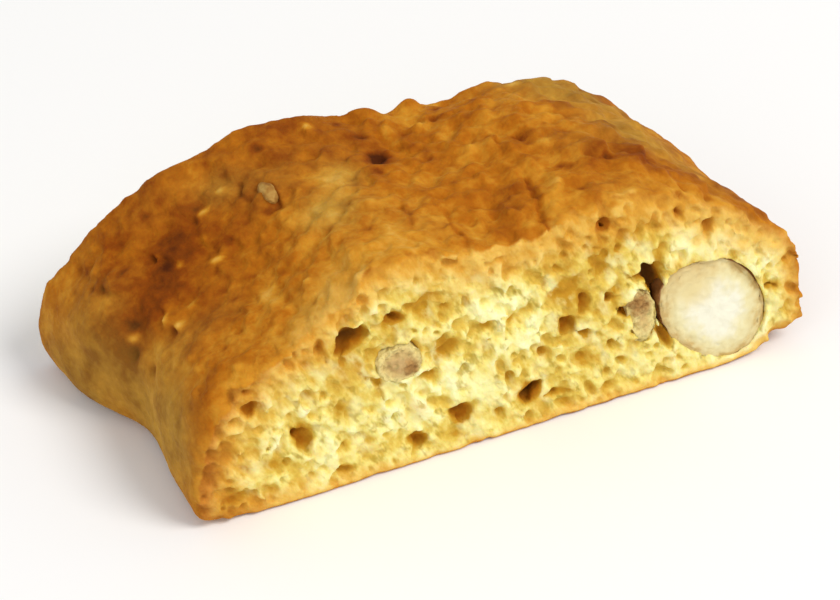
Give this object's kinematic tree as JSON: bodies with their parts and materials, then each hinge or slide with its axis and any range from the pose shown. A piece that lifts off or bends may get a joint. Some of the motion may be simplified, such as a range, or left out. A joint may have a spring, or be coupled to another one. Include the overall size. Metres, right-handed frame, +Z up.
{
  "type": "biscotti slice",
  "caption": "Crosscut slice of a twice-baked biscuit loaf, flat below and domed above, with a porous crumb and nuts showing in both cuts.",
  "frame": {"origin": "middle of the slice's box, on the flat base it rests on", "axes": "+X along the cuts to the flank beside the large nut, -Y out of the front cut, +Z up"},
  "size_m": [0.0674, 0.029, 0.0238],
  "materials": {
    "biscuit": "matte",
    "nut_flesh": "matte",
    "nut_skin": "matte"
  },
  "bodies": {
    "root": {"biscuit": "biscuit", "nut_large": "nut_flesh", "nut_small": "nut_flesh", "nut_shard": "nut_skin", "nut_rear": "nut_flesh"}
  },
  "joints": []
}
